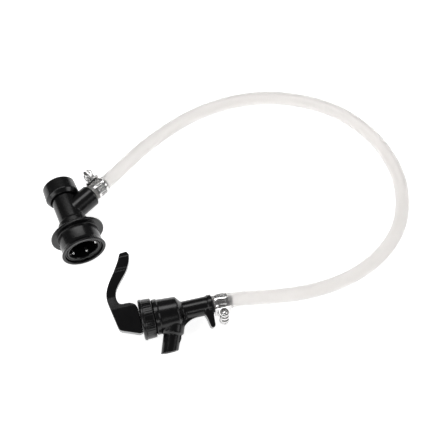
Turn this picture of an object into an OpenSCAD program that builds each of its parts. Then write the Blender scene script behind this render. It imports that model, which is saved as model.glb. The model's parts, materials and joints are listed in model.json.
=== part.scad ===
// Keg beer line: a ball-lock disconnect, a clear hose and a thumb-lever tap,
// joined by two worm-drive clamps.  Millimetres, +Z up, lying on a table.

/* [Hose] */
// Outer radius of the hose
hose_r = 4.5; // [4.4:0.1:4.6]
// Inner radius of the hose
hose_bore_r = 3; // [2.9:0.05:3]

/* [Disconnect] */
// Radius of the collar's finger flange, on which the disconnect lies
flange_r = 17; // [16.5:0.1:17]
// Radius of the collar's sleeve
sleeve_r = 13.1; // [13:0.1:13.6]
// Radius of the bore that a keg post slides into
post_r = 8.9; // [8.8:0.05:8.95]
// Radius of the narrower bore that the post's seal runs in
seal_r = 7.85; // [7.8:0.05:7.9]
// Travel of the collar from locked to released
collar_travel = 3.5; // [3:0.1:3.5]
// Radial travel of each locking ball
ball_travel = 0.9; // [0.8:0.05:0.9]
// Angle of the hose arm from the disconnect's axis
arm_angle = 65; // [60:1:70]
// Radius of the hose arm
arm_r = 7.25; // [7:0.05:7.5]

/* [Tap] */
// Radius of the tap's barrel beside the nut
barrel_r = 10.4; // [10.3:0.1:10.6]
// Radius of the nut's rim
nut_r = 12.6; // [12.4:0.1:12.8]
// Radius of the tap's inlet
inlet_r = 5.85; // [5.6:0.05:6]
// Radius of the spout's bore
spout_bore_r = 3.4; // [3.2:0.1:3.4]
// Lean of the spout towards the lever
spout_lean = 21; // [20:1:22]
// Swing of the lever from closed to open
lever_swing = 25; // [20:1:25]
// Travel of the plunger from closed to open
plunger_travel = 2.5; // [2:0.1:2.5]

/* [Clamps] */
// Width of a clamp's band
band_w = 8; // [7.5:0.1:8]
// Number of slots in a clamp's band, outside its overlap
slot_count = 15; // [13:1:15]

/* [Hidden] */
$fn = 72;

black = "#1d1d1f";
steel = "#c3c5c7";
rubber = "#121212";
clear_vinyl = "#f1eeea";

// Where the disconnect's mouth and the front of the tap's nut lie, and how they are turned
mouth_at = [-28, 13.67, flange_r];
tap_at = [-11.5, -42.23, nut_r];
tap_yaw = -8.7;
tap_roll = 20;

// Stations along the disconnect, from its mouth
body_mouth = 1.2;
ring_at = 3;
ball_at = 6;
land_at = 6.94;
chamber_at = 8.2;
flange_at = 12.8;
collar_end = 14.8;
washer_at = 15.4;
shoulder_end = 22.5;
seat_at = 23;
arm_at = 30.2;
cap_at = 41.2;
thread_end = 50;
cap_end = 53.5;
cap_r = 10.9;
socket_r = 10.85;
entry_r = post_r + 0.2;
guide_at = 8.2;
shoulder_r = 9.8;
column_r = 8;
chamber_r = 5.2;
relief_r = 12.24;
thread_pitch = 1.6;
ball_count = 6;
ball_r = 1.5875;
ball_lock_r = 9.6;
ball_hole_r = ball_r + 0.06;
first_ball = 45;

// Stations along the hose arm, from the disconnect's axis
arm_end = 20;
barb_length = 12.4;
barb_core_r = 2.9;
barb_crest_r = 3.3;
stretched_r = 5;

// Stations along the tap, from the front face of the nut
nut_w = 7.8;
face_t = 1.8;
nut_bore_r = 10.4;
neck_r = 9.9;
neck_at = 2.2;
ring_end = 11.2;
barrel_end = 22.5;
inlet_at = 25.6;
plate_at = 41.4;
inlet_end = 44.4;
bore_r = 7.2;
bore_end = 22.6;
pivot_u = -6.5;
pin_r = 1.8;
stem_r = 3.2;
piston_at = 7.5;
piston_end = 12;
head_half_w = 6.5;
cam_gap = 0.25;
cam_rate = plunger_travel * 180 / (lever_swing * PI);

// Centre of the clamps along the arm and along the inlet
clamp_a_at = arm_end + 6.2;
clamp_b_at = inlet_end + 5.3;
band_r = stretched_r + 0.05;
band_t = 0.6;
screw_out = band_r + band_t + 3.3;

// Centreline of the hose, from the face of the arm to the face of the inlet
hose_route = [
    [-9.8, 52.4, 17], [1.9, 57.8, 17], [8, 60.8, 16.9], [19, 67, 16.1], [32, 75, 13.9],
    [46, 82.5, 10.9], [60, 89, 7.9], [74, 93.8, 5.7], [88, 96, 4.6], [102, 96, 4.5], [116, 94, 4.5],
    [129.5, 90, 4.5], [142, 84, 4.5], [154, 76, 4.5], [164, 67, 4.5], [173, 56, 4.5],
    [179.5, 43.5, 4.5], [184, 30, 4.5], [186, 15.5, 4.5], [185.5, 0, 4.5], [182, -14.5, 4.5],
    [175.5, -28, 4.5], [166.5, -40, 4.5], [155.5, -49, 4.5], [143, -55.5, 4.5], [130, -59.5, 4.5],
    [117, -61.5, 4.5], [103.5, -61.8, 5.3], [90, -61, 7], [77, -59, 9.1], [65, -56.3, 11],
    [54.5, -53.3, 12.2], [45.2, -51, 12.6], [32.5, -49, 12.6]];

// ---------------------------------------------------------------- helpers

function arc(centre, r, from, to, steps) =
    [for (i = [0:steps]) let (a = from + (to - from) * i / steps)
        centre + r * [cos(a), sin(a)]];

function bezier(a, b, c, d, steps) =
    [for (i = [0:steps]) let (t = i / steps, k = 1 - t)
        k * k * k * a + 3 * k * k * t * b + 3 * k * t * t * c + t * t * t * d];

function unit(v) = v / norm(v);

// Faces that join rings of n points each, in order, into a tube's skin
function skin(rings, n, flip = false) =
    [for (i = [0:rings - 2], j = [0:n - 1])
        let (a = i * n + j, b = i * n + (j + 1) % n, c = b + n, d = a + n)
        flip ? [d, c, b, a] : [a, b, c, d]];

module turned(outline) { rotate_extrude() polygon(outline); }

module ring(outer, inner, from, to) {
    translate([0, 0, from]) difference() {
        cylinder(r = outer, h = to - from);
        translate([0, 0, -1]) cylinder(r = inner, h = to - from + 2);
    }
}

// Ridges of a screw thread, drawn as separate rings
module thread_rings(root, crest, from, count) {
    for (i = [0:count - 1])
        turned([[root, from + i * thread_pitch - 0.6], [crest, from + i * thread_pitch - 0.2],
                [crest, from + i * thread_pitch + 0.2], [root, from + i * thread_pitch + 0.6],
                [root - 0.4 * sign(crest - root), from + i * thread_pitch]]);
}

// A helical spring along Z
module coil(r, wire_r, from, to, turns) {
    sides = 6;
    per_turn = 14;
    steps = turns * per_turn;
    rings = [for (i = [0:steps]) let (a = i * 360 / per_turn)
        [for (j = [0:sides - 1]) let (b = j * 360 / sides)
            [(r + wire_r * cos(b)) * cos(a), (r + wire_r * cos(b)) * sin(a),
             from + wire_r + (to - from - 2 * wire_r) * i / steps + wire_r * sin(b)]]];
    last = steps * sides;
    polyhedron([for (one = rings) each one],
        concat(skin(steps + 1, sides), [[for (j = [sides - 1:-1:0]) j]],
               [[for (j = [0:sides - 1]) last + j]]));
}

// A hose barb along Z, from its root
module barb() {
    crest_step = 3.4;
    cylinder(r = barb_core_r, h = barb_length - 1);
    translate([0, 0, barb_length - 1]) cylinder(r1 = barb_core_r, r2 = 2.6, h = 1);
    for (i = [1:3])
        translate([0, 0, i * crest_step - 1.8]) {
            cylinder(r = barb_crest_r, h = 0.5);
            translate([0, 0, 0.5]) cylinder(r1 = barb_crest_r, r2 = barb_core_r, h = 1.6);
        }
}

module in_disconnect() { translate(mouth_at) rotate([-90, 0, 0]) children(); }

module in_arm() { in_disconnect() translate([0, 0, arm_at]) rotate([0, arm_angle, 0]) children(); }

module in_tap() { translate(tap_at) rotate([0, 0, tap_yaw]) rotate([tap_roll, 0, 0]) children(); }

module along_tap() { rotate([0, 90, 0]) children(); }

// ---------------------------------------------------------------- disconnect

module disconnect_body() {
    color(black) in_disconnect() difference() {
        union() {
            turned([[0, body_mouth], [socket_r - 0.3, body_mouth], [socket_r, body_mouth + 0.3],
                    [socket_r, 13], [shoulder_r, 14], [shoulder_r, shoulder_end],
                    [column_r, shoulder_end + 0.9], [column_r, thread_end], [0, thread_end]]);
            thread_rings(column_r, column_r + 0.45, cap_at + 1.6, 5);
            difference() {
                translate([0, 0, arm_at]) rotate([0, arm_angle, 0]) {
                    cylinder(r = arm_r, h = arm_end - 1.2);
                    translate([0, 0, arm_end - 1.2])
                        cylinder(r1 = arm_r, r2 = arm_r - 1.2, h = 1.2);
                    translate([0, 0, arm_end]) barb();
                }
                // Relief that the cap screws down into
                translate([0, 0, cap_at - 0.2]) cylinder(r = cap_r + 0.2, h = 10);
            }
        }
        turned([[0, 0], [post_r + 1.5, 0], [post_r + 0.7, body_mouth], [entry_r, body_mouth + 1],
                [entry_r, guide_at], [post_r, guide_at], [post_r, 13], [seal_r, 14],
                [seal_r, 20.5], [3.2, 20.5], [3.2, seat_at],
                [chamber_r, seat_at + 2], [chamber_r, thread_end + 1], [0, thread_end + 1]]);
        ring(socket_r + 2, socket_r - 0.6, ring_at, ring_at + 0.75);
        ring(shoulder_r + 2, shoulder_r - 0.5, washer_at, washer_at + 0.8);
        for (i = [0:ball_count - 1])
            rotate([0, 0, -first_ball - i * 360 / ball_count]) translate([7, 0, ball_at])
                rotate([0, 90, 0]) cylinder(r = ball_hole_r, h = 6);
        translate([0, 0, arm_at]) rotate([0, arm_angle, 0])
            translate([0, 0, 3]) cylinder(r = 2, h = arm_end + barb_length);
    }
}

module disconnect_cap() {
    color(black) in_disconnect() difference() {
        union() {
            turned([[column_r + 0.55, cap_at], [column_r + 1.3, cap_at], [cap_r, cap_at + 2.6],
                    [cap_r - 0.3, cap_end - 1.1], [9.6, cap_end], [0, cap_end], [0, thread_end + 1],
                    [column_r + 0.55, thread_end + 1]]);
            thread_rings(column_r + 0.55, column_r + 0.15, cap_at + 2.4, 4);
            translate([0, 0, 40]) cylinder(r = 1.9, h = thread_end + 2 - 40);
        }
        translate([-12, -0.9, cap_end - 1.2]) cube([24, 1.8, 3]);
    }
}

module cap_gasket() { color(rubber) in_disconnect() ring(8.3, 5.5, thread_end, thread_end + 1); }

module poppet() {
    color(black) in_disconnect() turned([[0, 15.5], [1.3, 15.5], [1.8, 16], [1.8, 22.6],
        [2.75, 22.9], [2.75, 23.4], [2.5, 23.5], [2.5, 25.1], [4.6, 25.1], [4.6, 26.6],
        [1.9, 26.6], [1.9, 31.5], [1.5, 32], [0, 32]]);
}

module poppet_seal() {
    color(rubber) in_disconnect() translate([0, 0, 24.28])
        rotate_extrude() translate([3.24, 0]) circle(r = 0.7);
}

module poppet_spring() {
    color(steel) in_disconnect() coil(2.75, 0.3, 26.65, thread_end + 0.95, 10);
}

module collar() {
    // The cone is set off from a locked ball by 0.1 mm, and drives it at a constant rate
    rate = ball_travel / collar_travel;
    slope = atan(rate);
    touch_s = ball_at + (ball_r + 0.1) * sin(slope);
    touch_r = ball_lock_r + (ball_r + 0.1) * cos(slope);
    relief_s = touch_s - (relief_r - touch_r) / rate;
    land_r = touch_r - rate * (land_at - touch_s);
    color(black) in_disconnect() turned([
        [relief_r, 0], [sleeve_r + 0.7, 0], [sleeve_r + 1.1, 0.4], [sleeve_r + 1, 0.9],
        [sleeve_r + 0.2, 2.6], [sleeve_r, 4], [sleeve_r, flange_at],
        [flange_r - 0.4, flange_at], [flange_r, flange_at + 0.4], [flange_r, collar_end - 0.4],
        [flange_r - 0.4, collar_end], [12.4, collar_end], [12.4, chamber_at],
        [land_r, chamber_at], [land_r, land_at], [relief_r, relief_s]]);
}

module collar_spring() {
    color(steel) in_disconnect() coil(11.65, 0.45, chamber_at + 0.05, washer_at - 0.05, 2.5);
}

module spring_washer() {
    color(steel) in_disconnect() ring(12.15, shoulder_r - 0.45, washer_at + 0.03, washer_at + 0.77);
}

// Split ring that snaps over the body's end and into its groove
module retaining_ring() {
    color(black) in_disconnect() difference() {
        turned([[socket_r + 0.03, body_mouth + 0.4], [socket_r + 0.33, body_mouth + 0.1],
                [11.6, body_mouth + 0.1], [11.9, body_mouth + 0.4], [11.9, ring_at + 0.72],
                [socket_r - 0.55, ring_at + 0.72], [socket_r - 0.55, ring_at + 0.03],
                [socket_r + 0.03, ring_at + 0.03]]);
        translate([-1.5, 9, 0]) cube([3, 4, 5]);
    }
}

module lock_ball(i) {
    color(steel) in_disconnect() rotate([0, 0, -first_ball - (i - 1) * 360 / ball_count])
        translate([ball_lock_r, 0, ball_at]) sphere(r = ball_r);
}

// ---------------------------------------------------------------- tap

module tap_body() {
    seat_r = 3.5;
    spout_root = [21.4, 0];
    web_centre = [34, -18.6];
    boss_r = 6.8;
    boss_end = 13.4;
    color(black) in_tap() difference() {
        union() {
            along_tap() {
                turned([[0, neck_at], [neck_r, neck_at], [neck_r, nut_w + 0.5],
                        [barrel_r + 0.5, nut_w + 0.5],
                        [barrel_r + 0.5, ring_end - 0.3], [barrel_r, ring_end],
                        [barrel_r - 0.7, barrel_end], [barrel_r - 1.4, barrel_end + 0.8],
                        [inlet_r + 0.2, inlet_at], [inlet_r, inlet_at + 1], [inlet_r, plate_at],
                        [inlet_r + 0.5, plate_at], [inlet_r + 0.5, inlet_end - 0.4],
                        [inlet_r, inlet_end], [0, inlet_end]]);
                thread_rings(neck_r, neck_r + 0.4, neck_at + 1.3, 3);
                translate([0, 0, inlet_end]) barb();
            }
            translate([spout_root.x, 0, 0]) rotate([0, 0, -spout_lean]) intersection() {
                rotate([90, 0, 0]) cylinder(r1 = 5.7, r2 = 5.1, h = 26);
                translate([-12, -40, -12]) cube([24, 40, 24]);
            }
            // Boss on the barrel that the spout leaves from
            translate([spout_root.x, 0, 0]) rotate([0, 0, -spout_lean]) rotate([90, 0, 0]) {
                cylinder(r = boss_r, h = boss_end - 1.2);
                translate([0, 0, boss_end - 1.2])
                    cylinder(r1 = boss_r, r2 = boss_r - 1.2, h = 1.2);
            }
            // Web between the spout and the inlet, with the finger arc cut in it
            translate([0, 0, -2.6]) linear_extrude(5.2)
                polygon(concat([[18, -6], [19.8, -18.6]], arc(web_centre, 12.9, 170, 92, 12),
                               [[36, -3]]));
            for (side = [-1, 1]) translate([26.2, -5.6, side * 4.2 - 1.6]) cube([1.2, 5.2, 3.2]);
            finger_hook();
        }
        along_tap() {
            translate([0, 0, 1]) cylinder(r = bore_r, h = bore_end - 1);
            cylinder(r = 2.6, h = 30);
            cylinder(r = 2, h = 70);
        }
        translate([spout_root.x, 0, 0]) rotate([0, 0, -spout_lean]) translate([0, -6, 0])
            rotate([90, 0, 0]) cylinder(r = spout_bore_r, h = 30);
        translate([0, -42.7, -15]) cube([30, 20, 30]);
    }
    color(black) in_tap() along_tap() ring(seat_r, 2.6, bore_end - 0.9, bore_end + 0.1);
}

module finger_hook() {
    half_w = 5.2;
    translate([0, 0, -half_w]) linear_extrude(2 * half_w)
        polygon(concat([[plate_at + 0.2, 0], [38.2, -5], [39.3, -8]],
                       arc([41.6, -12.7], 1.5, 190, 350, 8), [[43.4, -8], [inlet_end - 0.4, 0]]));
}

module tap_nut() {
    rib_count = 40;
    color(black) in_tap() along_tap() difference() {
        turned([[0, 0], [nut_r - 1.1, 0], [nut_r - 0.35, 0.35], [nut_r, 1.1], [nut_r, 1.9],
                [nut_r - 0.3, 2.2], [nut_r - 0.6, nut_w - 0.4], [nut_r - 1, nut_w], [0, nut_w]]);
        difference() {
            translate([0, 0, face_t]) cylinder(r = nut_bore_r, h = nut_w);
            thread_rings(nut_bore_r, nut_bore_r - 0.4, neck_at + 2.1, 3);
        }
        translate([0, 0, -1]) cylinder(r = stem_r + 0.08, h = nut_w);
        for (i = [0:rib_count - 1])
            rotate([0, 0, (i + 0.5) * 360 / rib_count]) translate([nut_r + 0.05, 0, 2.4])
                cylinder(r = 0.45, h = nut_w, $fn = 24);
    }
}

// Side outline of the lever: the cam head below, the bent handle above
function lever_outline() = concat(
    [[-cam_gap, -7.4], [-0.8, -8], [-2.2, -8.2], [-12.6, -4.2], [-13.7, -3.4], [-14.2, -2.2]],
    bezier([-17.1, 13], [-19.6, 24], [-8, 31], [-4.7, 41], 14),
    [[-4, 42], [0.2, 42.4]],
    bezier([1.3, 40], [0, 28], [-13, 24], [-11.6, 15], 14),
    bezier([-11.4, 14], [-11, 11.5], [-9, 11.4], [-7, 11.5], 4),
    [[-4.6, 11.4], [-2.9, 10.7], [-1.4, 9.7]],
    cam_outline());

// The cam pushes on the flat nut: an involute lifts the pivot at a constant rate
function cam_outline() =
    [for (i = [6:-1:0])
        let (a = lever_swing * i / 6, lift = -pivot_u - cam_gap + cam_rate * a * PI / 180)
        [pivot_u, 0] + lift * [cos(a), sin(a)] + cam_rate * [-sin(a), cos(a)]];

module lever() {
    slot_half = 3.6;
    slot_r = 3.7;
    front = [[-head_half_w, -12], [-head_half_w, 9], [-5, 17], [-5, 31.4], [-7, 33], [-7, 39.4],
             [-5.6, 41.8], [-3.4, 44], [3.4, 44], [5.6, 41.8], [7, 39.4], [7, 33], [5, 31.4],
             [5, 17], [head_half_w, 9], [head_half_w, -12]];
    tangent = slot_r * [-sin(lever_swing), cos(lever_swing)];
    slot_top = tangent.y + (1 - pivot_u - tangent.x) * tan(lever_swing);
    color(black) in_tap() difference() {
        intersection() {
            translate([0, 0, -10]) linear_extrude(20) polygon(lever_outline());
            translate([-30, 0, 0]) rotate([90, 0, 90]) linear_extrude(50)
                polygon([for (p = front) [p.y, p.x]]);
        }
        translate([0, 0, -slot_half]) linear_extrude(2 * slot_half)
            polygon([[pivot_u, -slot_r], [1, -slot_r], [1, slot_top], [pivot_u, 0] + tangent]);
        translate([pivot_u, 0, -slot_half]) cylinder(r = slot_r, h = 2 * slot_half);
        translate([pivot_u, 0, -5.8]) cylinder(r = pin_r + 0.06, h = 11.6);
    }
}

module plunger() {
    color(black) in_tap() {
        difference() {
            along_tap() turned([[0, pivot_u], [stem_r, pivot_u], [stem_r, piston_at],
                [bore_r - 0.08, piston_at], [bore_r - 0.08, piston_at + 1.2], [5.2, piston_at + 1.2],
                [5.2, piston_at + 3.4], [bore_r - 0.08, piston_at + 3.4],
                [bore_r - 0.08, piston_end], [2.2, piston_end + 0.8], [2.2, 17], [3.6, 17.4],
                [3.6, 18.2], [1.5, 18.2], [1.5, 20.4], [0, 20.4]]);
            translate([pivot_u - 1, -4, -4]) cube([1, 8, 8]);
        }
        intersection() {
            translate([pivot_u, 0, -stem_r]) cylinder(r = stem_r, h = 2 * stem_r);
            along_tap() translate([0, 0, pivot_u - 5]) cylinder(r = stem_r, h = 10);
        }
        translate([pivot_u, 0, -5.6]) cylinder(r = pin_r, h = 11.2);
    }
}

module plunger_seal() {
    color(rubber) in_tap() along_tap() translate([0, 0, piston_at + 2.3])
        rotate_extrude() translate([6.2, 0]) circle(r = 0.95);
}

module seat_washer() {
    color(rubber) in_tap() along_tap() difference() {
        turned([[0, 18.2], [4.6, 18.2], [4.8, 18.5], [4.8, 21.3], [4.5, 21.6], [0, 21.6]]);
        translate([0, 0, 18]) cylinder(r = 1.5, h = 2.4);
    }
}

module tap_spring() {
    color(steel) in_tap() along_tap() coil(5, 0.4, face_t + 0.05, piston_at - 0.05, 3);
}

// ---------------------------------------------------------------- hose

// Direction of the route at its point i
function heading(i) =
    unit(hose_route[min(i + 1, len(hose_route) - 1)] - hose_route[max(i - 1, 0)]);

// Ring of n points, r from the route, at its point i
function hose_ring(i, r, n) =
    let (d = heading(i), side = unit(cross(d, [0, 0, 1])), up = cross(side, d))
    [for (j = [0:n - 1]) let (a = (j + 0.5) * 360 / n)
        hose_route[i] + r * (cos(a) * side + sin(a) * up)];

module hose_tube() {
    n = 10;
    count = len(hose_route) - 2;
    last = (count - 1) * n;
    inner = count * n;
    outside = [for (i = [1:count]) each hose_ring(i, hose_r, n)];
    inside = [for (i = [1:count]) each hose_ring(i, hose_bore_r, n)];
    polyhedron(concat(outside, inside), concat(
        skin(count, n),
        [for (f = skin(count, n, true)) [for (k = f) k + inner]],
        [for (j = [0:n - 1]) let (k = (j + 1) % n) [k, j, inner + j, inner + k]],
        [for (j = [last:last + n - 1]) let (k = last + (j + 1 - last) % n)
            [j, k, inner + k, inner + j]]));
}

// End of the hose, stretched over a barb, along Z
module hose_end() {
    difference() {
        union() {
            translate([0, 0, 0.1]) cylinder(r = stretched_r, h = 11);
            translate([0, 0, 11.1]) cylinder(r1 = stretched_r, r2 = hose_r, h = 2.4);
        }
        translate([0, 0, -1]) cylinder(r = barb_core_r + 0.03, h = 20);
    }
}

module hose() {
    color(clear_vinyl) {
        hose_tube();
        in_arm() translate([0, 0, arm_end]) hose_end();
        in_tap() along_tap() translate([0, 0, inlet_end]) hose_end();
    }
}

// ---------------------------------------------------------------- clamps

module at_clamp_a() {
    in_arm() translate([0, 0, clamp_a_at]) rotate([0, -90, 0]) rotate([90, 0, 0]) children();
}

module at_clamp_b() {
    in_tap() translate([clamp_b_at, 0, 0]) rotate([180 - tap_roll, 0, 0]) children();
}

// Slot pressed part way into a band, at an angle around it
module band_slot(angle, r) {
    rotate([0, 0, angle]) translate([r - 0.3, 0, 0])
        rotate([12, 0, 0]) translate([0, -0.5, -2.3]) cube([1, 1, 4.6]);
}

// Band around X, whose free end lies over it beside the housing and then stands off
module clamp_band() {
    outer = band_r + band_t;
    lap_r = outer + 0.5;
    lap_from = 14;
    lap_to = 60;
    rotate([0, 90, 0]) difference() {
        union() {
            ring(outer, band_r, -band_w / 2, band_w / 2);
            intersection() {
                ring(lap_r, outer - 0.1, -band_w / 2, band_w / 2);
                translate([0, 0, -10]) linear_extrude(20)
                    polygon([[0, 0], 20 * [cos(lap_to), sin(lap_to)],
                             20 * [cos(lap_from), sin(lap_from)]]);
            }
            rotate([0, 0, lap_from]) translate([outer + 0.05, -2.6, 0.2 - band_w / 2])
                cube([0.4, 3, band_w - 0.4]);
        }
        for (i = [0:slot_count - 1]) band_slot(125 + i * 230 / (slot_count - 1), outer);
        for (angle = [22, 37, 52]) band_slot(angle, lap_r);
    }
}

module clamp_housing() {
    base = band_r + band_t + 0.02;
    difference() {
        union() {
            translate([-5, base, -4.6]) cube([10, 0.7, 9.2]);
            translate([0, screw_out, -4.6]) cylinder(r = 3.15, h = 9.2);
            translate([-3.15, base + 0.3, -4.6]) cube([6.3, screw_out - base - 0.3, 9.2]);
        }
        translate([0, screw_out, -6]) cylinder(r = 2.65, h = 12);
        translate([-2, base + 1.2, -3.4]) cube([4, 9, 2.2]);
        translate([-2, base + 1.2, 0.6]) cube([4, 9, 2.2]);
    }
}

module clamp_screw() {
    pitch = 1.3;
    translate([0, screw_out, 0]) {
        translate([0, 0, -4.4]) cylinder(r = 2.1, h = 9.6);
        for (i = [0:5]) translate([0, 0, -4 + i * pitch]) {
            cylinder(r1 = 2.1, r2 = 2.55, h = 0.35);
            translate([0, 0, 0.35]) cylinder(r1 = 2.55, r2 = 2.1, h = 0.35);
        }
        translate([0, 0, 4.75]) cylinder(r = 3.2, h = 0.7);
        difference() {
            translate([0, 0, 5.4]) cylinder(r = 3.25, h = 3.4, $fn = 6);
            translate([-0.6, -5, 7.4]) cube([1.2, 10, 3]);
        }
    }
}

module clamp_band_a() { color(steel) at_clamp_a() clamp_band(); }
module clamp_housing_a() { color(steel) at_clamp_a() clamp_housing(); }
module clamp_screw_a() { color(steel) at_clamp_a() clamp_screw(); }
module clamp_band_b() { color(steel) at_clamp_b() clamp_band(); }
module clamp_housing_b() { color(steel) at_clamp_b() clamp_housing(); }
module clamp_screw_b() { color(steel) at_clamp_b() clamp_screw(); }

disconnect_body();
disconnect_cap();
cap_gasket();
poppet();
poppet_seal();
poppet_spring();
collar();
collar_spring();
spring_washer();
retaining_ring();
lock_ball(1);  // lock_ball_1
lock_ball(2);  // lock_ball_2
lock_ball(3);  // lock_ball_3
lock_ball(4);  // lock_ball_4
lock_ball(5);  // lock_ball_5
lock_ball(6);  // lock_ball_6
tap_body();
tap_nut();
lever();
plunger();
plunger_seal();
seat_washer();
tap_spring();
clamp_band_a();
clamp_housing_a();
clamp_screw_a();
clamp_band_b();
clamp_housing_b();
clamp_screw_b();
hose();
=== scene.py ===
"""Looks of a keg beer line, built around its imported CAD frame.  Lengths are in millimetres in a
piece's own frame, and in metres once placed in the row frame."""

import json
import math

import bmesh
import bpy
from mathutils import Matrix, Vector


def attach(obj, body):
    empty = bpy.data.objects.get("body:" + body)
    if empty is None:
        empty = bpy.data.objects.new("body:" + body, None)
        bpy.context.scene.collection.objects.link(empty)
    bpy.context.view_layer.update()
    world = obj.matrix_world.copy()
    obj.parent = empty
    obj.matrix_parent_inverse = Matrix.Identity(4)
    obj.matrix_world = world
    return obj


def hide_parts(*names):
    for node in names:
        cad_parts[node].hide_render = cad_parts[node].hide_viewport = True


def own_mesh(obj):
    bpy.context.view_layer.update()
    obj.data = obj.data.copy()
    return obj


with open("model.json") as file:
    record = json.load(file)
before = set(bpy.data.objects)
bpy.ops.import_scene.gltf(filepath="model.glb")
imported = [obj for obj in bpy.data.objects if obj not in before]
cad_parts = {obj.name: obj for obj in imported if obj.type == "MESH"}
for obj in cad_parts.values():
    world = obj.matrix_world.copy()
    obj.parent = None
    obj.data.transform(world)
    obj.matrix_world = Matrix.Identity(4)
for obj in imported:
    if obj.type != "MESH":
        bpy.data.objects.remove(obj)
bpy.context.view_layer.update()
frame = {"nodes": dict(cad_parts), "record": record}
MM = 0.001


# ------------------------------------------------------------------ local frames, as in the CAD


def at(x, y, z):
    return Matrix.Translation((x, y, z))


def turn(degrees, axis):
    return Matrix.Rotation(math.radians(degrees), 4, axis)


NUT_R = 12.6
ARM_END = 20.0
INLET_END = 44.4
BAND_R = 5.05
BAND_T = 0.6
SCREW_OUT = BAND_R + BAND_T + 3.3

DISCONNECT = at(-28, 13.67, 17) @ turn(-90, "X")
ARM = DISCONNECT @ at(0, 0, 30.2) @ turn(65, "Y")
TAP = at(-11.5, -42.23, NUT_R) @ turn(-8.7, "Z") @ turn(20, "X")
ALONG_TAP = TAP @ turn(90, "Y")
CLAMP_A = ARM @ at(0, 0, ARM_END + 6.2) @ turn(-90, "Y") @ turn(90, "X")
CLAMP_B = TAP @ at(INLET_END + 5.3, 0, 0) @ turn(160, "X")


# ------------------------------------------------------------------ camera, floor and light

AZIMUTH = math.radians(-22.8)
ELEVATION = math.radians(58.8)
TARGET = Vector((64, 8.07, 0)) * MM
DISTANCE = 0.640
BACK = Vector((math.sin(AZIMUTH) * math.cos(ELEVATION),
               -math.cos(AZIMUTH) * math.cos(ELEVATION), math.sin(ELEVATION)))

camera = bpy.data.objects.new("camera", bpy.data.cameras.new("camera"))
camera.data.lens = 78.6
camera.data.sensor_width = 36
camera.data.clip_start = 0.01
camera.location = TARGET + BACK * DISTANCE
camera.rotation_mode = "QUATERNION"
camera.rotation_quaternion = (-BACK).to_track_quat("-Z", "Y")
bpy.context.scene.collection.objects.link(camera)
bpy.context.scene.camera = camera


def soft_light(name, place, aim, size, power, height=None):
    data = bpy.data.lights.new(name, "AREA")
    data.shape = "RECTANGLE"
    data.size = size
    data.size_y = height or size
    data.energy = power
    lamp = bpy.data.objects.new(name, data)
    lamp.location = place
    lamp.rotation_mode = "QUATERNION"
    lamp.rotation_quaternion = (Vector(aim) - Vector(place)).to_track_quat("-Z", "Y")
    bpy.context.scene.collection.objects.link(lamp)


soft_light("overhead", (0.0, 0.32, 0.85), (0.05, 0, 0), 1.1, 4.2, height=0.34)
soft_light("left", (-0.75, -0.25, 0.45), (-0.02, 0, 0.02), 0.22, 1.9, height=0.8)
soft_light("right", (0.8, -0.35, 0.55), (0.05, 0, 0), 0.45, 1.6)
soft_light("front", (-0.25, -0.8, 0.55), (0, 0, 0.02), 0.5, 1.1, height=0.16)


# ------------------------------------------------------------------ materials


class Nodes:
    """A new material, its shader and short ways to add nodes to it."""

    def __init__(self, name):
        self.material = bpy.data.materials.new(name)
        self.material.use_nodes = True
        self.tree = self.material.node_tree
        self.shader = self.tree.nodes["Principled BSDF"]
        self.place = self.tree.nodes.new("ShaderNodeTexCoord").outputs["Object"]

    def set(self, **values):
        for name, value in values.items():
            self.shader.inputs[name.replace("_", " ")].default_value = value

    def link(self, a, b):
        self.tree.links.new(a, b)

    def noise(self, scale, detail=3.0, stretch=None, roughness=0.55):
        node = self.tree.nodes.new("ShaderNodeTexNoise")
        node.inputs["Scale"].default_value = scale
        node.inputs["Detail"].default_value = detail
        node.inputs["Roughness"].default_value = roughness
        source = self.place
        if stretch:
            mapping = self.tree.nodes.new("ShaderNodeMapping")
            mapping.inputs["Scale"].default_value = stretch
            self.link(source, mapping.inputs["Vector"])
            source = mapping.outputs["Vector"]
        self.link(source, node.inputs["Vector"])
        return node.outputs["Fac"]

    def ramp(self, source, stops):
        node = self.tree.nodes.new("ShaderNodeValToRGB")
        ramp = node.color_ramp
        while len(ramp.elements) < len(stops):
            ramp.elements.new(0.5)
        for element, (place, colour) in zip(ramp.elements, stops):
            element.position = place
            element.color = (*colour, 1) if len(colour) == 3 else (colour[0],) * 3 + (1,)
        self.link(source, node.inputs["Fac"])
        return node.outputs["Color"]

    def bump(self, *layers):
        """Layers are (height output, strength, distance in metres), the last on top."""
        normal = None
        for height, strength, distance in layers:
            node = self.tree.nodes.new("ShaderNodeBump")
            node.inputs["Strength"].default_value = strength
            node.inputs["Distance"].default_value = distance
            self.link(height, node.inputs["Height"])
            if normal:
                self.link(normal, node.inputs["Normal"])
            normal = node.outputs["Normal"]
        self.link(normal, self.shader.inputs["Normal"])

    # painted highlight: a mask of the convex edges, by pointiness, where the base colour is painted
    # lighter
    def painted_edge_highlight(self, low=0.52, high=0.62):
        geometry = self.tree.nodes.new("ShaderNodeNewGeometry")
        return self.ramp(geometry.outputs["Pointiness"], [(low, (0,)), (high, (1,))])

    def mix(self, factor, a, b):
        node = self.tree.nodes.new("ShaderNodeMix")
        node.data_type = "RGBA"
        self.link(factor, node.inputs["Factor"])
        for value, socket in ((a, node.inputs["A"]), (b, node.inputs["B"])):
            if isinstance(value, tuple):
                socket.default_value = (*value, 1)
            else:
                self.link(value, socket)
        return node.outputs["Result"]


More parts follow.
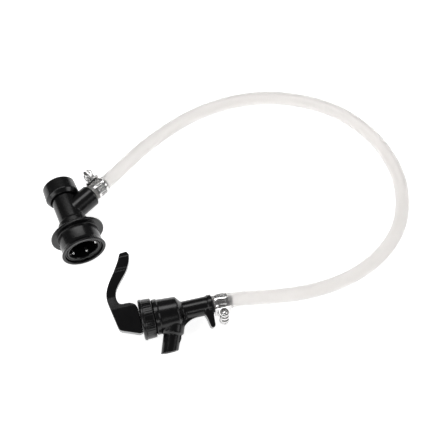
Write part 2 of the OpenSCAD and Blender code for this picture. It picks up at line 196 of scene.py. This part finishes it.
def black_plastic():
    n = Nodes("black_plastic")
    flow = n.ramp(n.noise(90, 4), [(0.35, (0.0022, 0.0022, 0.0025)), (0.7, (0.004, 0.004, 0.0044))])
    # the convex edges get a lighter base colour, a painted highlight standing in for the light the
    # edges catch
    colour = n.mix(n.painted_edge_highlight(), flow, (0.008, 0.008, 0.0085))
    n.link(colour, n.shader.inputs["Base Color"])
    n.link(n.ramp(n.noise(240, 5), [(0.3, (0.19,)), (0.75, (0.27,))]), n.shader.inputs["Roughness"])
    n.set(IOR=1.43)
    n.bump((n.noise(5200, 2), 0.05, 0.00008), (n.noise(420, 2), 0.06, 0.0003))
    return n.material


def stainless_steel():
    n = Nodes("stainless_steel")
    n.set(Metallic=1.0)
    tone = n.ramp(n.noise(700, 4), [(0.3, (0.6, 0.595, 0.59)), (0.75, (0.8, 0.795, 0.79))])
    n.link(tone, n.shader.inputs["Base Color"])
    brushed = n.noise(900, 3, stretch=(1, 6, 1))
    n.link(n.ramp(brushed, [(0.3, (0.13,)), (0.75, (0.24,))]), n.shader.inputs["Roughness"])
    n.bump((brushed, 0.05, 0.00005), (n.noise(500, 2), 0.1, 0.0002))
    return n.material


def black_rubber():
    n = Nodes("black_rubber")
    tone = n.ramp(n.noise(500, 4), [(0.3, (0.008,)), (0.8, (0.018,))])
    n.link(tone, n.shader.inputs["Base Color"])
    n.link(n.ramp(n.noise(900, 3), [(0.3, (0.55,)), (0.8, (0.75,))]), n.shader.inputs["Roughness"])
    n.bump((n.noise(6000, 2), 0.15, 0.0001))
    return n.material


def clear_vinyl():
    n = Nodes("clear_vinyl")
    tone = n.ramp(n.noise(60, 3), [(0.3, (0.985, 0.972, 0.96)), (0.75, (0.995, 0.984, 0.974))])
    n.link(tone, n.shader.inputs["Base Color"])
    n.link(n.ramp(n.noise(50, 2), [(0.3, (0.34,)), (0.75, (0.4,))]), n.shader.inputs["Roughness"])
    n.set(IOR=1.33, Transmission_Weight=0.78)
    n.bump((n.noise(35, 1), 0.04, 0.0004))
    # light is lost in the wall, most where it runs along the wall at the hose's two edges
    haze = n.tree.nodes.new("ShaderNodeVolumeAbsorption")
    haze.inputs["Color"].default_value = (0.80, 0.755, 0.72, 1)
    haze.inputs["Density"].default_value = 40
    n.link(haze.outputs["Volume"], n.tree.nodes["Material Output"].inputs["Volume"])
    return n.material


FINISH = {"black_plastic": black_plastic(), "stainless_steel": stainless_steel(),
          "black_rubber": black_rubber(), "clear_vinyl": clear_vinyl()}
SLOT_OF = {s["node"]: s["material_slot"] for s in frame["record"]["subparts"]}
BODY_OF = {n: body for body, members in frame["record"]["behaviour"]["bodies"].items()
           for n in members}

for name, node in frame["nodes"].items():
    node.data.materials.clear()
    node.data.materials.append(FINISH[SLOT_OF[name]])


# ------------------------------------------------------------------ mesh helpers


def add_mesh(name, points, faces, place=None, smooth=True):
    """A mesh object from points in millimetres of the local frame place."""
    mesh = bpy.data.meshes.new(name)
    mesh.from_pydata([tuple(p) for p in points], [], [tuple(f) for f in faces])
    matrix = Matrix.Scale(MM, 4)
    if place is not None:
        # the frame's own offset is in millimetres too, so the whole of it is scaled
        matrix = matrix @ place
    mesh.transform(matrix)
    mesh.update()
    obj = bpy.data.objects.new(name, mesh)
    bpy.context.scene.collection.objects.link(obj)
    outward(obj)
    if smooth:
        mesh.shade_smooth()
    return obj


def outward(obj):
    """Joins the points that meet, such as those on a lathe's axis, and turns the faces out."""
    bm = bmesh.new()
    bm.from_mesh(obj.data)
    bmesh.ops.remove_doubles(bm, verts=bm.verts, dist=1e-7)
    bmesh.ops.recalc_face_normals(bm, faces=bm.faces)
    bm.to_mesh(obj.data)
    bm.free()


def stand_for(obj, *nodes):
    """obj takes the finish, body and slot of the CAD nodes that it replaces."""
    first = nodes[0]
    obj.data.materials.clear()
    obj.data.materials.append(FINISH[SLOT_OF[first]])
    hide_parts(*nodes)
    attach(obj, BODY_OF[first])
    return obj


def baked(obj):
    """obj with its modifiers made part of its mesh."""
    graph = bpy.context.evaluated_depsgraph_get()
    mesh = bpy.data.meshes.new_from_object(obj.evaluated_get(graph), depsgraph=graph)
    obj.modifiers.clear()
    obj.data = mesh
    return obj


def joined(name, *objs):
    """One object from several, each already in the row frame."""
    bm = bmesh.new()
    for obj in objs:
        bm.from_mesh(obj.data)
        bpy.data.objects.remove(obj)
    mesh = bpy.data.meshes.new(name)
    bm.to_mesh(mesh)
    bm.free()
    obj = bpy.data.objects.new(name, mesh)
    bpy.context.scene.collection.objects.link(obj)
    return obj


def bevelled(obj, width, segments=2, sharp=35):
    bevel = obj.modifiers.new("bevel", "BEVEL")
    bevel.width = width * MM
    bevel.segments = segments
    bevel.limit_method = "ANGLE"
    bevel.angle_limit = math.radians(sharp)
    return baked(obj)


def moulded(node, voxel, passes=4):
    """A copy of a CAD piece whose edges and inner corners are softened, as a moulding's are."""
    source = frame["nodes"][node]
    mesh = source.data.copy()
    # the remesher works best on sizes near one, so this is done in millimetres
    mesh.transform(Matrix.Scale(1 / MM, 4) @ source.matrix_world)
    obj = bpy.data.objects.new(node + "_moulded", mesh)
    bpy.context.scene.collection.objects.link(obj)
    weld = obj.modifiers.new("weld", "WELD")
    weld.merge_threshold = 0.002
    remesh = obj.modifiers.new("remesh", "REMESH")
    remesh.mode = "VOXEL"
    remesh.voxel_size = voxel
    smooth = obj.modifiers.new("smooth", "SMOOTH")
    smooth.factor = 0.5
    smooth.iterations = passes
    baked(obj)
    obj.data.transform(Matrix.Scale(MM, 4))
    obj.data.shade_smooth()
    return stand_for(obj, node)


def softened(outline, radius, steps=3):
    """The closed outline with each corner rounded, by up to radius."""
    line = []
    for i, corner in enumerate(outline):
        before, here = Vector(outline[i - 1]), Vector(corner)
        after = Vector(outline[(i + 1) % len(outline)])
        if here.x == 0:
            line.append(here)
            continue
        cut = min(radius, 0.45 * (before - here).length, 0.45 * (after - here).length)
        start = here + (before - here).normalized() * cut
        end = here + (after - here).normalized() * cut
        for k in range(steps + 1):
            t = k / steps
            line.append((1 - t) ** 2 * start + 2 * t * (1 - t) * here + t * t * end)
    return line


def lathe(name, outline, place, round_off=0.25, sides=144, start=0, sweep=360, shape=None):
    """Turns a closed outline of (radius, station) about place's Z.

    shape(r, s, angle) can change the radius of a point."""
    line = softened(outline, round_off) if round_off else [Vector(p) for p in outline]
    whole = sweep == 360
    columns = sides if whole else sides + 1
    n = len(line)
    points, faces = [], []
    for j in range(columns):
        angle = math.radians(start + sweep * j / sides)
        for r, s in line:
            if shape:
                r = shape(r, s, angle)
            points.append((r * math.cos(angle), r * math.sin(angle), s))
    for j in range(sides):
        k = (j + 1) % columns
        for i in range(n):
            faces.append((j * n + i, j * n + (i + 1) % n, k * n + (i + 1) % n, k * n + i))
    if not whole:
        faces += [tuple(range(n)), tuple(sides * n + i for i in range(n))]
    return add_mesh(name, points, faces, place)


def coil(name, place, r, wire, start, end, turns):
    """A round-wire spring about place's Z, between two stations."""
    around, sides = 40, 12
    steps = round(turns * around)
    points, faces = [], []
    for i in range(steps + 1):
        angle = 2 * math.pi * i / around
        middle = start + wire + (end - start - 2 * wire) * i / steps
        for j in range(sides):
            b = 2 * math.pi * j / sides
            reach = r + wire * math.cos(b)
            points.append((reach * math.cos(angle), reach * math.sin(angle),
                           middle + wire * math.sin(b)))
    for i in range(steps):
        for j in range(sides):
            a, b = i * sides + j, i * sides + (j + 1) % sides
            faces.append((a, b, b + sides, a + sides))
    faces += [tuple(range(sides)), tuple(steps * sides + j for j in range(sides))]
    return add_mesh(name, points, faces, place)


# ------------------------------------------------------------------ disconnect

for part, grain in (("disconnect_body", 0.3), ("disconnect_cap", 0.24), ("poppet", 0.2)):
    moulded(part, grain)

SLEEVE_R = 13.1
FLANGE_R = 17
BALL_CIRCLE = 9.6
BALL_R = 1.5875
BALL_AT = 6

# the inner cone is what pushes the balls in
collar = lathe("collar_turned", [
    (12.24, 0.1), (SLEEVE_R + 0.7, 0), (SLEEVE_R + 1.1, 0.5), (SLEEVE_R + 1, 0.95),
    (SLEEVE_R + 0.2, 2.6), (SLEEVE_R, 4), (SLEEVE_R, 12.3), (SLEEVE_R + 0.35, 12.8),
    (FLANGE_R - 0.3, 12.8), (FLANGE_R, 13.2), (FLANGE_R, 14.4), (FLANGE_R - 0.4, 14.8),
    (12.4, 14.8), (12.4, 8.2), (11.11, 8.2), (11.11, 6.94), (12.24, 2.51)], DISCONNECT)
stand_for(collar, "collar")

SPLIT = 7.6
ring = lathe("retaining_ring_turned", [
    (10.88, 1.6), (11.18, 1.3), (11.6, 1.3), (11.9, 1.6), (11.9, 3.72), (10.3, 3.72),
    (10.3, 3.03), (10.88, 3.03)], DISCONNECT, 0.12, start=90 + SPLIT, sweep=360 - 2 * SPLIT)
stand_for(ring, "retaining_ring")

for i in range(6):
    around = math.radians(-45 - 60 * i)
    half = [(BALL_R * math.cos(math.radians(a)), BALL_R * math.sin(math.radians(a)))
            for a in range(-90, 91, 10)]
    half[0], half[-1] = (0, -BALL_R), (0, BALL_R)
    where = DISCONNECT @ at(BALL_CIRCLE * math.cos(around), BALL_CIRCLE * math.sin(around), BALL_AT)
    ball = lathe(f"ball_{i + 1}_turned", half, where, 0, sides=36)
    stand_for(ball, f"lock_ball_{i + 1}")

COLLAR_SPRING = (8.25, 15.35)
spring = coil("collar_spring_coil", DISCONNECT, 11.65, 0.45, *COLLAR_SPRING, turns=2.5)
stand_for(spring, "collar_spring")
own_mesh(spring)

POPPET_SPRING = (26.65, 50.95)
spring = coil("poppet_spring_coil", DISCONNECT, 2.75, 0.3, *POPPET_SPRING, turns=10)
stand_for(spring, "poppet_spring")
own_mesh(spring)


# ------------------------------------------------------------------ tap

for part, grain in (("tap_body", 0.3), ("lever", 0.27), ("plunger", 0.24)):
    moulded(part, grain)

RIBS = 40
RIB_DEPTH = 0.08


def ribbed(r, s, angle):
    """Shallow ribs on the nut's outer wall, that fade in behind its rim."""
    if r < 11.4 or s < 2.3:
        return r
    fade = min(1, (s - 2.3) / 0.5)
    return r - RIB_DEPTH * fade * abs(math.sin(angle * RIBS / 2)) ** 6


nut = lathe("tap_nut_turned", [
    (3.28, 0), (NUT_R - 1.1, 0), (NUT_R - 0.35, 0.3), (NUT_R, 1), (NUT_R, 1.8),
    (NUT_R - 0.45, 2.1), (NUT_R - 0.35, 2.6), (NUT_R - 0.6, 7.4), (NUT_R - 1, 7.8), (10.4, 7.8),
    (10.4, 6.5), (10, 6.1), (10, 5.7), (10.4, 5.3), (10.4, 4.9), (10, 4.5), (10, 4.1),
    (10.4, 3.7), (10.4, 1.8), (3.28, 1.8)], ALONG_TAP, 0.14, sides=RIBS * 12, shape=ribbed)
stand_for(nut, "tap_nut")

TAP_SPRING = (1.85, 7.45)
spring = coil("tap_spring_coil", ALONG_TAP, 5, 0.4, *TAP_SPRING, turns=3)
stand_for(spring, "tap_spring")
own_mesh(spring)


# ------------------------------------------------------------------ clamps

BAND_HALF = 4.0
SLOT_HALF = 2.3
SLOT_TILT = math.tan(math.radians(12))
BAND_GAUGE = 0.55
TAIL_GAUGE = 0.45
TAIL_LIFT = 0.27


def slotted_strip(name, path, slots, place, thickness, tilt=SLOT_TILT):
    """A strip along path, in the plane across place's Z.

    It has a tilted slot between the points i and i + 1 of path, for each i in slots."""
    rows = (-BAND_HALF, -SLOT_HALF, 0, SLOT_HALF, BAND_HALF)
    points, faces = [], []
    for i, (x, y) in enumerate(path):
        before, after = path[max(i - 1, 0)], path[min(i + 1, len(path) - 1)]
        ahead = (Vector(after) - Vector(before)).normalized()
        for z in rows:
            # the strip's own ends and its two edges stay square
            lean = tilt * z if abs(z) < BAND_HALF and 0 < i < len(path) - 1 else 0
            points.append((x + ahead.x * lean, y + ahead.y * lean, z))
    n = len(rows)
    for i in range(len(path) - 1):
        for j in range(n - 1):
            if i in slots and j in (1, 2):
                continue
            faces.append((i * n + j, i * n + j + 1, (i + 1) * n + j + 1, (i + 1) * n + j))
    strip = add_mesh(name, points, faces, place)
    solid = strip.modifiers.new("solid", "SOLIDIFY")
    solid.thickness = thickness * MM
    solid.offset = 0
    bevelled(baked(strip), 0.1, sharp=40)
    strip.data.shade_smooth()
    return strip


def arc_path(r, stops):
    return [(r * math.cos(math.radians(a)), r * math.sin(math.radians(a))) for a in stops]


def clamp_band(tag, place):
    """The band goes all the way round; its free end lies over it and then stands off as a tab."""
    # one unit of the band is a slot and the bridge beside it; the part under the housing is plain
    slot, bridge, units = 10.0, 6.43, 18
    plain_end = 480.0
    stops, slots = [], set()
    angle = plain_end - 360
    for _ in range(units):
        slots.add(len(stops))
        stops += [angle, angle + slot]
        angle += slot + bridge
    stops += [angle + (plain_end - angle) * k / 10 for k in range(11)]
    across = place @ turn(90, "Y")
    loop = arc_path(BAND_R + BAND_T / 2, stops)
    band = slotted_strip(f"band_{tag}", loop, slots, across, BAND_GAUGE)
    lap_slots = [stops[2 * unit] - 360 for unit in (units - 1, units - 2, units - 3)]
    lap, tail_slots = [60], set()
    for first in lap_slots:
        tail_slots.add(len(lap))
        lap += [first + slot, first]
    tip = 1
    lap += [(lap[-1] + tip) / 2, tip]
    path = arc_path(BAND_R + BAND_T + TAIL_LIFT, lap)
    outwards = Vector((math.cos(math.radians(tip)), math.sin(math.radians(tip))))
    onwards = Vector((outwards.y, -outwards.x))
    last = Vector(path[-1])
    path += [tuple(last + onwards * run + outwards * lift)
             for run, lift in ((0.5, 0.02), (1.0, 0.1), (1.5, 0.25))]
    # the tail is drawn the other way round from the band, so the opposite tilt lays its slots
    # over the band's
    tail = slotted_strip(f"tail_{tag}", path, tail_slots, across, TAIL_GAUGE, -SLOT_TILT)
    return joined(f"clamp_band_{tag}_pressed", band, tail)


def threaded(r, s, angle):
    """A worm thread as a change of radius along a plain rod."""
    pitch, rise, half_width = 1.3, 0.45, 0.27
    if r < 2 or not -4.1 < s < 3.9:
        return r
    phase = (s / pitch - angle / (2 * math.pi)) % 1
    return r + rise * max(0, 1 - abs(phase - 0.5) / half_width)


def clamp_screw(tag, place):
    centre = place @ at(0, SCREW_OUT, 0)
    steps = 92
    rod = [(0, -4.4)] + [(2.05, -4.3 + 9.5 * k / steps) for k in range(steps + 1)] + [(0, 5.2)]
    shaft = lathe(f"shaft_{tag}", rod, centre, 0, sides=48, shape=threaded)
    washer = lathe(f"washer_{tag}", [(0, 4.75), (3.0, 4.75), (3.25, 4.95), (3.25, 5.3),
                                     (3.0, 5.5), (0, 5.5)], centre, 0.12, sides=72)
    head = slotted_head(f"head_{tag}", centre)
    return joined(f"clamp_screw_{tag}_cut", shaft, washer, head)


def slotted_head(name, place):
    """A hexagon head with a crowned top and a screwdriver slot across it."""
    radius, low, high, sides = 3.25, 5.45, 8.75, 96
    slot_half, slot_depth = 0.6, 1.4

    def hexagon(r, s, angle):
        flat = radius * math.cos(math.pi / 6) / math.cos((angle % (math.pi / 3)) - math.pi / 6)
        return min(r, flat)

    outline = [(0, low), (radius, low), (radius, high - 0.8), (radius - 0.25, high - 0.25),
               (radius - 0.7, high), (0, high)]
    head = lathe(name, outline, place, 0.1, sides=sides, shape=hexagon)
    box = [(x, y, z) for x in (-slot_half, slot_half) for y in (-5, 5)
           for z in (high - slot_depth, high + 2)]
    sides_of_box = [(0, 1, 3, 2), (4, 6, 7, 5), (0, 4, 5, 1), (2, 3, 7, 6), (0, 2, 6, 4),
                    (1, 5, 7, 3)]
    cutter = add_mesh(name + "_slot", box, sides_of_box, place, smooth=False)
    cut = head.modifiers.new("slot", "BOOLEAN")
    cut.operation = "DIFFERENCE"
    cut.solver = "EXACT"
    cut.object = cutter
    baked(head)
    bpy.data.objects.remove(cutter)
    return head


for tag, place in (("a", CLAMP_A), ("b", CLAMP_B)):
    stand_for(clamp_band(tag, place), f"clamp_band_{tag}")
    stand_for(clamp_screw(tag, place), f"clamp_screw_{tag}")
    moulded(f"clamp_housing_{tag}", 0.13, passes=3)


# ------------------------------------------------------------------ hose

HOSE_R = 4.5
BORE_R = 3.0
# how the hose stretches over a barb, and the ripples that the barb's edges press into it
BARB_LENGTH = 13.2
SWELL = 0.5
SWELL_FADE = 2.6
RIPPLE = 0.07
RIPPLE_PITCH = 3.4
FIRST_CREST = 1.9
ROUTE = [
    (-9.8, 52.4, 17), (1.9, 57.8, 17), (8, 60.8, 16.9), (19, 67, 16.1), (32, 75, 13.9),
    (46, 82.5, 10.9), (60, 89, 7.9), (74, 93.8, 5.7), (88, 96, 4.6), (102, 96, 4.5),
    (116, 94, 4.5), (129.5, 90, 4.5), (142, 84, 4.5), (154, 76, 4.5), (164, 67, 4.5),
    (173, 56, 4.5), (179.5, 43.5, 4.5), (184, 30, 4.5), (186, 15.5, 4.5), (185.5, 0, 4.5),
    (182, -14.5, 4.5), (175.5, -28, 4.5), (166.5, -40, 4.5), (155.5, -49, 4.5),
    (143, -55.5, 4.5), (130, -59.5, 4.5), (117, -61.5, 4.5), (103.5, -61.8, 5.3),
    (90, -61, 7), (77, -59, 9.1), (65, -56.3, 11), (54.5, -53.3, 12.2), (45.2, -51, 12.6),
    (32.5, -49, 12.6)]


def smooth_line(points, steps):
    """Catmull-Rom line through the points."""
    pts = [Vector(p) for p in points]
    pts = [2 * pts[0] - pts[1], *pts, 2 * pts[-1] - pts[-2]]
    out = []
    for a, b, c, d in zip(pts, pts[1:], pts[2:], pts[3:]):
        for i in range(steps):
            t = i / steps
            out.append(0.5 * (2 * b + (c - a) * t + (2 * a - 5 * b + 4 * c - d) * t * t
                              + (3 * b - a - 3 * c + d) * t ** 3))
    out.append(pts[-2])
    return out


def stretch_over_barb(d):
    """How far the hose's radius grows at d from its end, where a barb is inside it."""
    swell = SWELL * min(1, max(0, (BARB_LENGTH - d) / SWELL_FADE))
    if swell < SWELL:
        swell = swell * swell * (3 - 2 * swell / SWELL) * 2
    if 0.5 < d < 11:
        return swell + RIPPLE * math.cos(2 * math.pi * (d - FIRST_CREST) / RIPPLE_PITCH)
    return swell


def swept_hose():
    line = smooth_line(ROUTE, 8)
    run = [0.0]
    for a, b in zip(line, line[1:]):
        run.append(run[-1] + (b - a).length)
    length = run[-1]
    sides = 40
    rings = []
    for i, p in enumerate(line):
        ahead = (line[min(i + 1, len(line) - 1)] - line[max(i - 1, 0)]).normalized()
        side = ahead.cross(Vector((0, 0, 1))).normalized()
        up = side.cross(ahead)
        more = stretch_over_barb(min(run[i], length - run[i]))
        rings.append((p, side, up, HOSE_R + more, BORE_R + more))
    points, faces = [], []
    for layer in (0, 1):
        for p, side, up, outer, inner in rings:
            r = inner if layer else outer
            for j in range(sides):
                a = 2 * math.pi * j / sides
                points.append(p + r * (math.cos(a) * side + math.sin(a) * up))
    count = len(rings)
    for layer in (0, 1):
        base = layer * count * sides
        for i in range(count - 1):
            for j in range(sides):
                a, b = base + i * sides + j, base + i * sides + (j + 1) % sides
                faces.append((a, b, b + sides, a + sides))
    inside = count * sides
    for end in (0, (count - 1) * sides):
        for j in range(sides):
            k = (j + 1) % sides
            faces.append((end + j, end + k, inside + end + k, inside + end + j))
    tube = add_mesh("hose_tube", points, faces)
    return tube, [tuple(p * MM) for p in line]


hose, hose_line = swept_hose()
stand_for(hose, "hose")


# ------------------------------------------------------------------ floor


def floor_material():
    n = Nodes("pale_floor")
    tone = n.ramp(n.noise(6, 2), [(0.3, (0.90, 0.90, 0.90)), (0.8, (0.92, 0.92, 0.92))])
    n.link(tone, n.shader.inputs["Base Color"])
    n.link(tone, n.shader.inputs["Emission Color"])
    n.set(Roughness=0.8, Specular_IOR_Level=0.1, Emission_Strength=0.9)
    return n.material


FLOOR = 3000

floor = add_mesh("floor", [(-FLOOR, -FLOOR, 0), (FLOOR, -FLOOR, 0), (FLOOR, FLOOR, 0),
                           (-FLOOR, FLOOR, 0)], [(0, 1, 2, 3)], smooth=False)
floor.data.materials.append(floor_material())

world = bpy.data.worlds.new("studio")
world.use_nodes = True
world.node_tree.nodes["Background"].inputs["Color"].default_value = (1, 1, 1, 1)
world.node_tree.nodes["Background"].inputs["Strength"].default_value = 0.13
bpy.context.scene.world = world
bpy.context.scene.view_settings.view_transform = "Standard"
